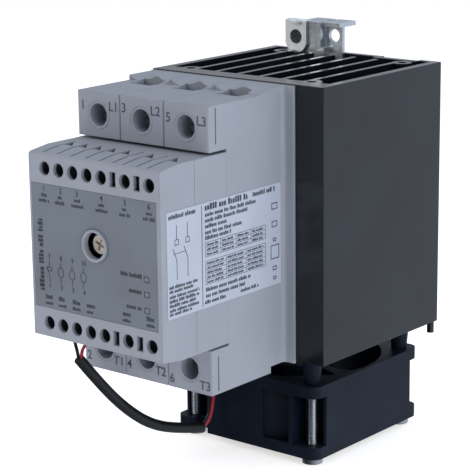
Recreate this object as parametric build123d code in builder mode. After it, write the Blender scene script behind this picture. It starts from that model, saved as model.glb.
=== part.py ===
from build123d import *
import math
import os

# Three-pole solid state relay on a fan-cooled heatsink, in millimetres.
# +X is the object's right, +Y goes from the front panel to the mounting side, +Z is up.
# The origin is the middle of the footprint, on the surface that the fan's screw heads rest on.

os.makedirs("parts", exist_ok=True)

# ---- driving dimensions ----
pole_count = 3
pole_pitch = 18.0
heatsink_width = 70.0
heatsink_depth = 66.0
heatsink_height = 90.0
housing_depth = 37.5
module_depth = 22.5
rail_hook_depth = 4.6
dial_ring_rise = 0.6
fan_size = 60.0
fan_height = 25.0
fan_hole_pitch = 50.0
fan_head_height = 2.4
spacer_height = 9.2
housing_wall = 1.2
seam_gap = 0.1
running_gap = 0.05

# ---- datum planes ----
total_depth = dial_ring_rise + module_depth + housing_depth + heatsink_depth + rail_hook_depth
module_y = -total_depth / 2 + dial_ring_rise
face_y = module_y + module_depth
sink_y = face_y + housing_depth
back_y = sink_y + heatsink_depth
left_flare = 1.0
right_flare = 4.0
left_x = -heatsink_width / 2 + left_flare
right_x = left_x + pole_count * pole_pitch
sink_z = fan_head_height + fan_height + spacer_height
sink_top = sink_z + heatsink_height
housing_drop = 3.0
base_z = sink_z - housing_drop
pole_xs = [left_x + pole_pitch * (number + 0.5) for number in range(pole_count)]
fan_setback = 2.5
fan_y = sink_y + fan_setback + fan_size / 2
fan_hole_half = fan_hole_pitch / 2
corner_signs = [(sx, sy) for sx in (-1, 1) for sy in (-1, 1)]
fan_corners = [(sx * fan_hole_half, fan_y + sy * fan_hole_half) for sx, sy in corner_signs]


# ---- helpers: positions from the terminals' front face and from their lowest edge ----
def depth(value):
    return face_y + value


def height(value):
    return base_z + value


def span_box(xs, ys, zs, mode=Mode.ADD):
    """Add or cut the box between two opposite corners."""
    middle = ((xs[0] + xs[1]) / 2, (ys[0] + ys[1]) / 2, (zs[0] + zs[1]) / 2)
    with Locations(middle):
        Box(xs[1] - xs[0], ys[1] - ys[0], zs[1] - zs[0], mode=mode)


def rod_y(x, z, ys, radius, mode=Mode.ADD):
    """Add or cut a round bar along Y."""
    with BuildSketch(Plane.XZ.offset(-ys[1])) as disc:
        with Locations((x, z)):
            Circle(radius)
    extrude(disc.sketch, amount=ys[1] - ys[0], mode=mode)


def rod_z(x, y, zs, radius, mode=Mode.ADD):
    """Add or cut a round bar along Z."""
    with BuildSketch(Plane.XY.offset(zs[0])) as disc:
        with Locations((x, y)):
            Circle(radius)
    extrude(disc.sketch, amount=zs[1] - zs[0], mode=mode)


def save(piece, label):
    piece.part.label = label
    export_step(piece.part, f"parts/{label}.step")


# ---- heatsink: one extrusion, with screw channels for the fan ----
base_plate = 7.0
wall_thickness = 3.0
fin_count = 6
fin_thickness = 1.8
fin_end_gap = 7.0
back_wall = 2.0
back_wall_width = 47.0
back_lip = 8.0
recess_wall = 2.4
recess_depth = 1.8
channel_radius = 3.4
fan_screw_radius = 1.5
fan_screw_bore = 1.55
sink_half = heatsink_width / 2
fin_space = (heatsink_width - 2 * wall_thickness) / (fin_count + 1)
fin_xs = [-sink_half + wall_thickness + fin_space * (number + 1) for number in range(fin_count)]
fin_length = heatsink_depth - base_plate - fin_end_gap
housing_screw_radius = 1.5
housing_screw_bore = 1.55
housing_screw_depth = 6.0
lug_heights = (24.5, 67.5)
pin_radius = 1.2
pin_x = sink_half - 1.4
pin_y = back_y - 2.0
bracket_screw_xs = (-22.4, -10.0)
bracket_screw_z = sink_top - 5.0
bracket_screw_bore = 1.55

with BuildPart() as heatsink:
    with BuildSketch(Plane.XY.offset(sink_z)):
        with Locations((0, sink_y + base_plate / 2)):
            Rectangle(heatsink_width, base_plate)
        with Locations(
            (-sink_half + wall_thickness / 2, sink_y + heatsink_depth / 2),
            (sink_half - wall_thickness / 2, sink_y + heatsink_depth / 2),
        ):
            Rectangle(wall_thickness, heatsink_depth)
        with Locations(*[(x, sink_y + base_plate + fin_length / 2 - 0.5) for x in fin_xs]):
            Rectangle(fin_thickness, fin_length + 1.0)
        with Locations((-sink_half + back_wall_width / 2, back_y - back_wall / 2)):
            Rectangle(back_wall_width, back_wall)
        with Locations((sink_half - back_lip / 2, back_y - back_wall / 2)):
            Rectangle(back_lip, back_wall)
        recess_xs = (-sink_half + back_wall_width - 2.0, sink_half - back_lip + 0.5)
        with Locations((sum(recess_xs) / 2, back_y - recess_depth - recess_wall / 2)):
            Rectangle(recess_xs[1] - recess_xs[0], recess_wall)
        with Locations(*fan_corners):
            Circle(channel_radius)
        with Locations(*fan_corners):
            Circle(fan_screw_bore, mode=Mode.SUBTRACT)
    extrude(amount=heatsink_height)
    for pole_x in pole_xs:
        for lug_z in lug_heights:
            bore_ys = (sink_y, sink_y + housing_screw_depth)
            rod_y(pole_x, height(lug_z), bore_ys, housing_screw_bore, Mode.SUBTRACT)
    for side in (-1, 1):
        rod_z(side * pin_x, pin_y, (sink_z, sink_z + 4.0), pin_radius, Mode.SUBTRACT)
    for screw_x in bracket_screw_xs:
        rod_y(screw_x, bracket_screw_z, (back_y - back_wall, back_y), bracket_screw_bore, Mode.SUBTRACT)
save(heatsink, "heatsink")

pin_reach = 3.9
with BuildPart() as locating_pins:
    for side in (-1, 1):
        rod_z(side * pin_x, pin_y, (sink_z - pin_reach, sink_z + 3.9), pin_radius)
save(locating_pins, "locating_pins")

# ---- pole housings: one shell for each pole, with a line tower above and a load tower below ----
module_seam = 8.3
load_face_top = 14.5
line_face_bottom = 76.7
line_top = 90.9
strip_top = 92.6
strip_depth = 24.5
load_step = 29.5
load_back_bottom = 2.2
tower_solid = 9.8
cavity_bottom = 3.2
cavity_top = 89.4
line_screw_z = 83.8
load_screw_z = 7.4
screw_access_radius = 3.6
access_depth = 7.7
power_screw_radius = 2.0
power_screw_bore = power_screw_radius + running_gap
entry_width = 9.0
entry_ys = (19.6, 26.8)
entry_wall = 1.3
entry_wall_bottom = 88.2
scoop_edge = 10.2
scoop_back = 33.0
scoop_overlap = 2.6
groove_width = 0.5
groove_depth = 0.5
groove_y = 3.3
groove_spans = ((79.0, 90.0), (1.0, 12.1))
lug_reach = 2.0
lug_half = 3.0
flange_start = 35.0
flange_front = 36.5


def wire_scoop(x, half_width):
    """Cut a trough whose floor rises from the tower's top to the strip's top."""
    rise = strip_top - line_top
    run = scoop_back - strip_depth
    slope = math.degrees(math.atan2(rise, run))
    radius = (half_width**2 + rise**2) / (2 * rise)
    along = Vector(0, math.cos(math.radians(slope)), math.sin(math.radians(slope)))
    outward = Vector(0, -along.Z, along.Y)
    floor_middle = Vector(x, depth(strip_depth + run / 2), height(line_top + rise / 2))
    with Locations(Location(floor_middle + outward * (radius + 0.05), (slope - 90, 0, 0))):
        Cylinder(radius, run * 1.6, mode=Mode.SUBTRACT)


def pole_shell(x0, flare):
    """One pole's shell from its left edge x0, with the back edge flared out by that much."""
    outline = [
        (depth(0), height(0)),
        (depth(0), height(load_face_top)),
        (depth(module_seam), height(load_face_top)),
        (depth(module_seam), height(line_face_bottom)),
        (depth(0), height(line_face_bottom)),
        (depth(0), height(line_top)),
        (depth(strip_depth), height(line_top)),
        (depth(strip_depth), height(strip_top)),
        (depth(housing_depth), height(strip_top)),
        (depth(housing_depth), height(load_back_bottom)),
        (depth(load_step), height(load_back_bottom)),
        (depth(load_step), height(0)),
    ]
    x1 = x0 + pole_pitch
    xc = x0 + pole_pitch / 2
    inner = (x0 + seam_gap / 2 + housing_wall, x1 - seam_gap / 2 - housing_wall)
    with BuildPart() as shell:
        with BuildSketch(Plane.YZ.offset(x0 + seam_gap / 2)):
            with BuildLine():
                Polyline(*outline, close=True)
            make_face()
        extrude(amount=pole_pitch - seam_gap)
        front_edges = shell.edges().filter_by(Axis.Z).group_by(Axis.Y)[0]
        chamfer(front_edges, 0.35)
        if flare:
            edge_x = x0 + seam_gap / 2 if flare < 0 else x1 - seam_gap / 2
            bend = min(abs(flare), flange_front - flange_start) * flare / abs(flare)
            with BuildSketch(Plane.XY.offset(height(load_back_bottom))):
                with BuildLine():
                    start = (edge_x, depth(flange_front) - abs(bend))
                    turned = (edge_x + bend, depth(flange_front))
                    TangentArc(start, turned, tangent=(0, 1))
                    tip = edge_x + flare + bend * 0.01
                    Polyline(
                        turned,
                        (tip, depth(flange_front)),
                        (tip, depth(housing_depth)),
                        (edge_x, depth(housing_depth)),
                        start,
                    )
                make_face()
            extrude(amount=strip_top - load_back_bottom)
        span_box(
            inner,
            (depth(tower_solid), depth(housing_depth) + 1.0),
            (height(cavity_bottom), height(cavity_top)),
            Mode.SUBTRACT,
        )
        for lug_z in lug_heights:
            span_box(
                inner,
                (depth(housing_depth - lug_reach), depth(housing_depth)),
                (height(lug_z - lug_half), height(lug_z + lug_half)),
            )
            lug_ys = (depth(housing_depth - lug_reach), depth(housing_depth))
            rod_y(xc, height(lug_z), lug_ys, housing_screw_bore, Mode.SUBTRACT)
        for screw_z in (line_screw_z, load_screw_z):
            rod_y(xc, height(screw_z), (depth(0), depth(access_depth)), screw_access_radius, Mode.SUBTRACT)
            rod_y(xc, height(screw_z), (depth(0), depth(tower_solid)), power_screw_bore, Mode.SUBTRACT)
        # the scoops that guide the wires: two troughs whose floors rise to the strip's top
        last = x1 > right_x - 1.0
        scoop_end = x1 + 2 * scoop_overlap if last else x1
        for left, right in ((x0, x0 + scoop_edge), (x0 + scoop_edge, scoop_end)):
            wire_scoop((left + right) / 2, (right - left) / 2)
        # the shaft's back wall, which hides the space behind it
        span_box(
            inner,
            (depth(entry_ys[1]), depth(entry_ys[1] + entry_wall)),
            (height(entry_wall_bottom), height(cavity_top)),
        )
        if last:
            for span in groove_spans:
                span_box(
                    (x1 - seam_gap / 2 - groove_depth, x1 + 1.0),
                    (depth(groove_y - groove_width / 2), depth(groove_y + groove_width / 2)),
                    (height(span[0]), height(span[1])),
                    Mode.SUBTRACT,
                )
        entry_xs = (xc - entry_width / 2, xc + entry_width / 2)
        entry = (depth(entry_ys[0]), depth(entry_ys[1]))
        span_box(entry_xs, entry, (height(cavity_top) - 1.0, height(strip_top)), Mode.SUBTRACT)
        span_box(entry_xs, entry, (height(-1.0), height(cavity_bottom) + 1.0), Mode.SUBTRACT)
    return shell


pole_names = ("left", "middle", "right")
pole_flares = (-left_flare, 0, right_flare)
for number, pole_name in enumerate(pole_names):
    pole = pole_shell(left_x + pole_pitch * number, pole_flares[number])
    save(pole, f"pole_housing_{pole_name}")

with BuildPart() as housing_screws:
    for pole_x in pole_xs:
        for lug_z in lug_heights:
            seat = sink_y - lug_reach
            rod_y(pole_x, height(lug_z), (seat - 2.0, seat), 2.75)
            rod_y(pole_x, height(lug_z), (seat, sink_y + housing_screw_depth - 0.5), housing_screw_radius)
save(housing_screws, "housing_screws")

# ---- power terminals: a captive screw that turns and draws a cage towards its head ----
head_radius = 3.4
head_ys = (5.0, 7.5)
screw_tip = 17.2
tongue_ys = (17.5, 19.3)
tongue_half = 3.9
cage_ys = (12.8, 28.3)
cage_front = 2.5
cage_back = 1.5
cage_half = 5.5
cage_side = 1.3
cage_half_height = 4.0


def power_screw(x, z):
    """A cheese-head terminal screw with a cross recess, its head towards the front."""
    with BuildPart() as screw:
        rod_y(x, z, (depth(head_ys[0]), depth(head_ys[1])), head_radius)
        rod_y(x, z, (depth(head_ys[1]), depth(screw_tip)), power_screw_radius)
        recess = (depth(head_ys[0]) - 1.0, depth(head_ys[0]) + 1.3)
        span_box((x - 2.6, x + 2.6), recess, (z - 0.5, z + 0.5), Mode.SUBTRACT)
        span_box((x - 0.5, x + 0.5), recess, (z - 2.6, z + 2.6), Mode.SUBTRACT)
    return screw


def power_clamp(x, z):
    """The cage that lifts the wire against the busbar's tongue: a square ring, open up and down."""
    with BuildPart() as cage:
        ring = (depth(cage_ys[0]), depth(cage_ys[1]))
        zs = (z - cage_half_height, z + cage_half_height)
        span_box((x - cage_half, x + cage_half), ring, zs)
        hollow = (depth(cage_ys[0] + cage_front), depth(cage_ys[1] - cage_back))
        inside = cage_half - cage_side
        span_box((x - inside, x + inside), hollow, zs, Mode.SUBTRACT)
        rod_y(x, z, (ring[0], hollow[0]), power_screw_bore, Mode.SUBTRACT)
    return cage


for row, row_z in (("line", line_screw_z), ("load", load_screw_z)):
    for number, pole_x in enumerate(pole_xs):
        save(power_screw(pole_x, height(row_z)), f"{row}_screw_{number + 1}")
        save(power_clamp(pole_x, height(row_z)), f"{row}_clamp_{number + 1}")

# ---- power path: busbars, thyristor modules and their ceramic plates ----
thyristor_face = 31.0
thyristor_zs = (30.0, 61.0)
ceramic_thickness = 0.6
tongue_thickness = tongue_ys[1] - tongue_ys[0]
busbar_land = 8.0


def busbar(x, tip_z, turn_z, land_z):
    """A stepped copper bar from the clamp's tongue to the thyristor module's face."""
    up = 1 if tip_z > turn_z else -1
    front, back = depth(tongue_ys[0]), depth(thyristor_face)
    outline = [
        (front, height(tip_z)),
        (front + tongue_thickness, height(tip_z)),
        (front + tongue_thickness, height(turn_z)),
        (back, height(turn_z)),
        (back, height(land_z)),
        (back - tongue_thickness, height(land_z)),
        (back - tongue_thickness, height(turn_z - up * tongue_thickness)),
        (front, height(turn_z - up * tongue_thickness)),
    ]
    with BuildSketch(Plane.YZ.offset(x - tongue_half)) as profile:
        with BuildLine():
            Polyline(*outline, close=True)
        make_face()
    extrude(profile.sketch, amount=2 * tongue_half)


with BuildPart() as power_busbars:
    for pole_x in pole_xs:
        busbar(pole_x, line_screw_z + 3.7, 73.0, thyristor_zs[1] - busbar_land)
        busbar(pole_x, load_screw_z - 3.7, 18.2, thyristor_zs[0] + busbar_land)
save(power_busbars, "power_busbars")

with BuildPart() as thyristor_modules:
    for pole_x in pole_xs:
        span_box(
            (pole_x - 6.8, pole_x + 6.8),
            (depth(thyristor_face), sink_y - ceramic_thickness),
            (height(thyristor_zs[0]), height(thyristor_zs[1])),
        )
save(thyristor_modules, "thyristor_modules")

with BuildPart() as ceramic_plates:
    for pole_x in pole_xs:
        span_box(
            (pole_x - 7.2, pole_x + 7.2),
            (sink_y - ceramic_thickness, sink_y),
            (height(thyristor_zs[0] - 0.8), height(thyristor_zs[1] + 0.8)),
        )
save(ceramic_plates, "ceramic_plates")

with BuildPart() as varistors:
    for pole_x in pole_xs:
        rod_y(pole_x, height(45.5), (depth(12.0), depth(16.5)), 6.5)
save(varistors, "varistors")

# ---- control module: a case behind, a cover in front ----
case_front = -6.75
case_zs = (15.2, 75.8)
cover_kink = -8.3
cover_shoulder = -14.0
cover_top = 74.8
cover_bottom = 16.2
case_wall = 1.4
first_hole_x = 6.75
hole_step = 5.9
wide_step = 9.64
top_holes_z = 70.1
bottom_holes_z = 20.7
hole_radius = 2.2
hole_xs = [first_hole_x + hole_step * number for number in range(5)]
hole_xs += [hole_xs[-1] + wide_step, hole_xs[-1] + 2 * wide_step]
rib_slot_xs = [hole_xs[5] - wide_step / 2, hole_xs[6] - wide_step / 2]
slot_offset = 1.7
rib_slot_offset = 1.2
entry_front = -12.2
entry_back = -6.9
slot_half = 0.4
slot_start = 1.5
entry_reach = 4.3
entry_cut = 2.6
rib_slot_depth = 1.5
dial_x = left_x + 27.3
dial_z = 48.6
dial_hole = 4.2
dial_ring = 5.1
panel_xs = (0.9, 52.4)
panel_zs = (25.6, 65.3)
panel_recess = 0.3
lamp_x = 47.7
lamp_zs = (41.5, 36.6, 31.7)
lamp_half = (0.6, 0.9)

with BuildPart() as control_case:
    case_xs = (left_x + seam_gap / 2, right_x - seam_gap / 2)
    case_ys = (depth(case_front), depth(module_seam))
    span_box(case_xs, case_ys, (height(case_zs[0]), height(case_zs[1])))
    span_box(
        (case_xs[0] + case_wall, case_xs[1] - case_wall),
        (case_ys[0], case_ys[1] - case_wall),
        (height(case_zs[0] + case_wall), height(case_zs[1] - case_wall)),
        Mode.SUBTRACT,
    )
    for pole_x in pole_xs:
        span_box(
            (pole_x - 3.0, pole_x + 3.0),
            (case_ys[1] - case_wall, case_ys[1]),
            (height(56.0), height(62.0)),
            Mode.SUBTRACT,
        )
save(control_case, "control_case")

with BuildPart() as control_cover:
    front = depth(-module_depth)
    outline = [
        (front, height(cover_bottom)),
        (front, height(cover_top - 0.6)),
        (front + 0.8, height(cover_top)),
        (depth(cover_shoulder), height(case_zs[1])),
        (depth(case_front) - seam_gap, height(case_zs[1])),
        (depth(case_front) - seam_gap, height(case_zs[0])),
        (depth(cover_shoulder), height(case_zs[0])),
    ]
    with BuildSketch(Plane.YZ.offset(left_x + seam_gap / 2)):
        with BuildLine():
            Polyline(*outline, close=True)
        make_face()
    extrude(amount=pole_count * pole_pitch - seam_gap)
    rod_y(dial_x, height(dial_z), (front - dial_ring_rise, front), dial_ring)
    cavity = [
        (front + case_wall, height(cover_bottom + case_wall)),
        (front + case_wall, height(cover_top - case_wall - 0.6)),
        (depth(cover_kink), height(case_zs[1] - case_wall)),
        (depth(case_front) + 1.0, height(case_zs[1] - case_wall)),
        (depth(case_front) + 1.0, height(case_zs[0] + case_wall)),
        (depth(cover_kink), height(case_zs[0] + case_wall)),
    ]
    with BuildSketch(Plane.YZ.offset(left_x + case_wall)):
        with BuildLine():
            Polyline(*cavity, close=True)
        make_face()
    extrude(amount=pole_count * pole_pitch - 2 * case_wall, mode=Mode.SUBTRACT)
    span_box(
        (left_x + panel_xs[0], left_x + panel_xs[1]),
        (front - 1.0, front + panel_recess),
        (height(panel_zs[0]), height(panel_zs[1])),
        Mode.SUBTRACT,
    )
    rod_y(dial_x, height(dial_z), (front - dial_ring_rise, front + panel_recess), dial_ring)
    rod_y(dial_x, height(dial_z), (front - dial_ring_rise, front + case_wall), dial_hole, Mode.SUBTRACT)
    for row_z in (top_holes_z, bottom_holes_z):
        for hole_x in hole_xs:
            rod_y(left_x + hole_x, height(row_z), (front, front + case_wall), hole_radius, Mode.SUBTRACT)
        for slot_x in rib_slot_xs:
            span_box(
                (left_x + slot_x - 1.2, left_x + slot_x + 1.2),
                (front - 0.5, front + rib_slot_depth),
                (height(row_z - 2.3), height(row_z + 2.3)),
                Mode.SUBTRACT,
            )
    # a saw-like slot leads from the front edge to each wire entry, which is a three-cornered wedge
    upper_cut = (height(cover_top - 0.9), height(case_zs[1]) + 1.0)
    lower_cut = (height(case_zs[0]) - 1.0, height(cover_bottom + 0.9))
    wedge_starts = (height(cover_top - entry_cut), height(case_zs[0]) - 1.0)
    slot_xs = [hole_x - slot_offset for hole_x in hole_xs]
    slot_xs += [rib_x - rib_slot_offset for rib_x in rib_slot_xs]
    for slot_x in slot_xs:
        for zs in (upper_cut, lower_cut):
            narrow = (left_x + slot_x - slot_half, left_x + slot_x + slot_half)
            span_box(narrow, (front + slot_start, depth(entry_back)), zs, Mode.SUBTRACT)
    for hole_x in hole_xs:
        slot_x = left_x + hole_x - slot_offset - slot_half
        for wedge_z in wedge_starts:
            with BuildSketch(Plane.XY.offset(wedge_z)) as wedge:
                with BuildLine():
                    Polyline(
                        (slot_x, depth(entry_front)),
                        (slot_x + entry_reach, depth(entry_front)),
                        (slot_x, depth(entry_back)),
                        close=True,
                    )
                make_face()
            extrude(wedge.sketch, amount=entry_cut + 2.0, mode=Mode.SUBTRACT)
    for lamp_z in lamp_zs:
        span_box(
            (left_x + lamp_x - lamp_half[0], left_x + lamp_x + lamp_half[0]),
            (front - 0.5, front + case_wall + 0.1),
            (height(lamp_z - lamp_half[1]), height(lamp_z + lamp_half[1])),
            Mode.SUBTRACT,
        )
save(control_cover, "control_cover")

label_thickness = 0.25
with BuildPart() as front_label:
    span_box(
        (left_x + panel_xs[0] + 0.1, left_x + panel_xs[1] - 0.1),
        (front + panel_recess - label_thickness, front + panel_recess),
        (height(panel_zs[0] + 0.1), height(panel_zs[1] - 0.1)),
    )
    label_ys = (front - 1.0, front + panel_recess)
    rod_y(dial_x, height(dial_z), label_ys, dial_ring + 0.1, Mode.SUBTRACT)
    for lamp_z in lamp_zs:
        span_box(
            (left_x + lamp_x - lamp_half[0], left_x + lamp_x + lamp_half[0]),
            label_ys,
            (height(lamp_z - lamp_half[1]), height(lamp_z + lamp_half[1])),
            Mode.SUBTRACT,
        )
save(front_label, "front_label")

side_label_ys = (-20.0, 34.8)
side_label_zs = (29.1, 61.9)
with BuildPart() as side_label:
    span_box(
        (right_x - seam_gap / 2, right_x - seam_gap / 2 + 0.15),
        (depth(side_label_ys[0]), depth(side_label_ys[1])),
        (height(side_label_zs[0]), height(side_label_zs[1])),
    )
save(side_label, "side_label")

# ---- control terminals: two moulded strips with their screws and clamp sleeves ----
strip_ys = (-20.6, -9.0)
strip_outward = 2.3
strip_inward = 4.2
screw_head_y = -18.6
empty_top = 3
empty_bottom = 4


with BuildPart() as control_terminal_strips:
    for row_z, outward in ((top_holes_z, 1), (bottom_holes_z, -1)):
        edges = (height(row_z + outward * strip_outward), height(row_z - outward * strip_inward))
        strip_zs = (min(edges), max(edges))
        wire_way = (strip_zs[0] - 0.5, strip_zs[1] + 0.5)
        span_box((left_x + 1.8, right_x - 1.8), (depth(strip_ys[0]), depth(strip_ys[1])), strip_zs)
        for hole_x in hole_xs:
            x = left_x + hole_x
            rod_y(x, height(row_z), (depth(strip_ys[0]), depth(-15.5)), hole_radius, Mode.SUBTRACT)
            rod_y(x, height(row_z), (depth(-15.5), depth(-14.0)), 1.3, Mode.SUBTRACT)
            span_box((x - 1.7, x + 1.7), (depth(-14.0), depth(-10.2)), wire_way, Mode.SUBTRACT)
save(control_terminal_strips, "control_terminal_strips")

with BuildPart() as control_terminal_screws:
    for row_z, empty in ((top_holes_z, empty_top), (bottom_holes_z, empty_bottom)):
        for number, hole_x in enumerate(hole_xs):
            if number == empty:
                continue
            x = left_x + hole_x
            rod_y(x, height(row_z), (depth(screw_head_y), depth(screw_head_y + 1.6)), 1.95)
            rod_y(x, height(row_z), (depth(screw_head_y + 1.6), depth(-14.2)), 1.25)
            slot = (depth(screw_head_y) - 0.5, depth(screw_head_y) + 0.8)
            span_box((x - 2.2, x + 2.2), slot, (height(row_z - 0.35), height(row_z + 0.35)), Mode.SUBTRACT)
save(control_terminal_screws, "control_terminal_screws")

with BuildPart() as control_terminal_sleeves:
    for row_z, empty in ((top_holes_z, empty_top), (bottom_holes_z, empty_bottom)):
        for number, hole_x in enumerate(hole_xs):
            if number == empty:
                continue
            x = left_x + hole_x
            ys = (depth(-13.9), depth(-10.3))
            zs = (height(row_z - 2.2), height(row_z + 2.2))
            span_box((x - 1.6, x + 1.6), ys, zs)
            span_box((x - 1.1, x + 1.1), (ys[0] + 0.5, ys[1] - 0.5), zs, Mode.SUBTRACT)
save(control_terminal_sleeves, "control_terminal_sleeves")

# ---- electronics ----
board_thickness = 1.6
control_board_y = -8.6
driver_board_y = 4.9

with BuildPart() as control_board:
    span_box(
        (left_x + 2.2, right_x - 2.2),
        (depth(control_board_y), depth(control_board_y + board_thickness)),
        (height(18.2), height(72.8)),
    )
save(control_board, "control_board")

with BuildPart() as driver_board:
    span_box(
        (left_x + 2.2, right_x - 2.2),
        (depth(driver_board_y), depth(driver_board_y + board_thickness)),
        (height(18.2), height(72.8)),
    )
save(driver_board, "driver_board")

with BuildPart() as board_connector:
    connector_ys = (depth(control_board_y + board_thickness), depth(driver_board_y))
    span_box((left_x + 14.0, left_x + 40.0), connector_ys, (height(19.5), height(24.5)))
save(board_connector, "board_connector")

with BuildPart() as auxiliary_relays:
    for relay_x in (9.5, 22.0):
        relay_ys = (depth(driver_board_y - 10.0), depth(driver_board_y))
        span_box((left_x + relay_x - 5.0, left_x + relay_x + 5.0), relay_ys, (height(50.0), height(70.0)))
save(auxiliary_relays, "auxiliary_relays")

with BuildPart() as supply_transformer:
    coil_ys = (depth(driver_board_y - 9.0), depth(driver_board_y))
    span_box((left_x + 31.0, left_x + 46.0), coil_ys, (height(54.0), height(69.0)))
save(supply_transformer, "supply_transformer")

with BuildPart() as capacitors:
    for cap_x in (8.0, 16.0, 24.0):
        rod_y(left_x + cap_x, height(41.0), (depth(driver_board_y - 10.5), depth(driver_board_y)), 3.15)
save(capacitors, "capacitors")

with BuildPart() as gate_optocouplers:
    for pole_x in pole_xs:
        opto_ys = (depth(driver_board_y - 3.5), depth(driver_board_y))
        span_box((pole_x - 3.3, pole_x + 3.3), opto_ys, (height(27.5), height(34.5)))
save(gate_optocouplers, "gate_optocouplers")

with BuildPart() as microcontroller:
    chip_ys = (depth(control_board_y - 1.2), depth(control_board_y))
    span_box((left_x + 34.0, left_x + 43.0), chip_ys, (height(50.0), height(59.0)))
save(microcontroller, "microcontroller")

with BuildPart() as indicator_leds:
    for lamp_z in lamp_zs:
        led_ys = (depth(control_board_y - 1.0), depth(control_board_y))
        span_box(
            (left_x + lamp_x - 0.8, left_x + lamp_x + 0.8),
            led_ys,
            (height(lamp_z - 1.0), height(lamp_z + 1.0)),
        )
save(indicator_leds, "indicator_leds")

with BuildPart() as light_pipes:
    for lamp_z in lamp_zs:
        span_box(
            (left_x + lamp_x - lamp_half[0] + 0.05, left_x + lamp_x + lamp_half[0] - 0.05),
            (front + 0.1, depth(control_board_y - 1.1)),
            (height(lamp_z - lamp_half[1] + 0.05), height(lamp_z + lamp_half[1] - 0.05)),
        )
save(light_pipes, "light_pipes")

# ---- delay potentiometer: body on the board, dial behind the front ring ----
dial_ys = (-20.2, -14.4)
dial_radius = 3.0
with BuildPart() as potentiometer_body:
    body_ys = (depth(-14.0), depth(control_board_y))
    span_box((dial_x - 4.75, dial_x + 4.75), body_ys, (height(dial_z - 4.75), height(dial_z + 4.75)))
    rod_y(dial_x, height(dial_z), (depth(-14.0), depth(-11.0)), 1.55, Mode.SUBTRACT)
save(potentiometer_body, "potentiometer_body")

with BuildPart() as potentiometer_dial:
    rod_y(dial_x, height(dial_z), (depth(dial_ys[0]), depth(dial_ys[1])), dial_radius)
    rod_y(dial_x, height(dial_z), (depth(dial_ys[1]), depth(-11.3)), 1.5)
    cross_ys = (depth(dial_ys[0]) - 0.5, depth(dial_ys[0]) + 1.2)
    centre = (dial_x, (cross_ys[0] + cross_ys[1]) / 2, height(dial_z))
    for turn in (20, 110):
        with Locations(Location(centre, (0, turn, 0))):
            Box(4.0, cross_ys[1] - cross_ys[0], 1.0, mode=Mode.SUBTRACT)
save(potentiometer_dial, "potentiometer_dial")

# ---- mounting bracket and earth terminal at the top of the back wall ----
bracket_ys = (back_y - 3.5, back_y - 2.1)
bracket_xs = (-27.0, -3.2)
bracket_zs = (sink_top - 9.0, sink_top + 10.6)
flange_back = back_y + 4.4
earth_x = -22.4
earth_z = sink_top + 4.6
earth_radius = 2.3
fixing_x = -6.6
fixing_z = sink_top + 6.0
fixing_radius = 2.3

with BuildPart() as mounting_bracket:
    span_box(bracket_xs, bracket_ys, bracket_zs)
    flange_zs = (bracket_zs[1] - 1.5, bracket_zs[1])
    for flange_xs in ((-19.4, -11.6), (-10.4, bracket_xs[1])):
        span_box(flange_xs, (bracket_ys[0], flange_back), flange_zs)
    span_box((-16.0, bracket_xs[1]), (bracket_ys[0] - 1.5, bracket_ys[0]), flange_zs)
    rod_y(earth_x, earth_z, bracket_ys, earth_radius + running_gap, Mode.SUBTRACT)
    rod_y(fixing_x, fixing_z, bracket_ys, fixing_radius, Mode.SUBTRACT)
    for screw_x in bracket_screw_xs:
        rod_y(screw_x, bracket_screw_z, bracket_ys, bracket_screw_bore, Mode.SUBTRACT)
    # the forward rib that stiffens the plate between its two holes
    rib_xs = (-12.6, -10.3)
    rib_ys = (bracket_ys[0] - 3.0, bracket_ys[0])
    span_box(rib_xs, rib_ys, (sink_top + 0.6, bracket_zs[1]))
    span_box((rib_xs[0], rib_xs[1] + 1.4), rib_ys, (sink_top + 0.6, sink_top + 1.8))
save(mounting_bracket, "mounting_bracket")

with BuildPart() as bracket_screws:
    for screw_x in bracket_screw_xs:
        rod_y(screw_x, bracket_screw_z, (bracket_ys[0] - 1.2, bracket_ys[0]), 2.5)
        rod_y(screw_x, bracket_screw_z, (bracket_ys[0], back_y - 0.4), 1.5)
save(bracket_screws, "bracket_screws")

clamp_ys = (bracket_ys[0] - 1.3, bracket_ys[0] - 0.1)
with BuildPart() as earth_clamp:
    with BuildSketch(Plane.XZ.offset(-clamp_ys[1])):
        with Locations((earth_x, earth_z + 1.6)):
            Rectangle(9.0, 8.4)
        with Locations((earth_x, earth_z - 1.2)):
            Circle(4.5)
        with Locations((earth_x, earth_z)):
            Circle(earth_radius + 0.25, mode=Mode.SUBTRACT)
    extrude(amount=clamp_ys[1] - clamp_ys[0])
    # the clamp's top folds forward over the wire
    fold_xs = (earth_x - 1.3, earth_x + 1.9)
    span_box(fold_xs, (clamp_ys[0] - 1.6, clamp_ys[1]), (earth_z + 4.9, earth_z + 5.8))
save(earth_clamp, "earth_clamp")

with BuildPart() as earth_screw:
    rod_y(earth_x, earth_z, (clamp_ys[0] + 0.5, bracket_ys[1] + 3.0), earth_radius)
    slot_ys = (clamp_ys[0] - 1.0, clamp_ys[0] + 1.5)
    span_box((earth_x - 3.0, earth_x + 3.0), slot_ys, (earth_z - 0.4, earth_z + 0.4), Mode.SUBTRACT)
save(earth_screw, "earth_screw")

# ---- rail fastening on the back wall: fixed hook above, sprung latch below ----
rail_height = 35.0
rail_z = sink_z + heatsink_height / 2
rail_top = rail_z + rail_height / 2
rail_bottom = rail_z - rail_height / 2
rail_lip = 2.0
latch_x = -11.5
latch_half = 9.0
latch_travel = 5.0

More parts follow.
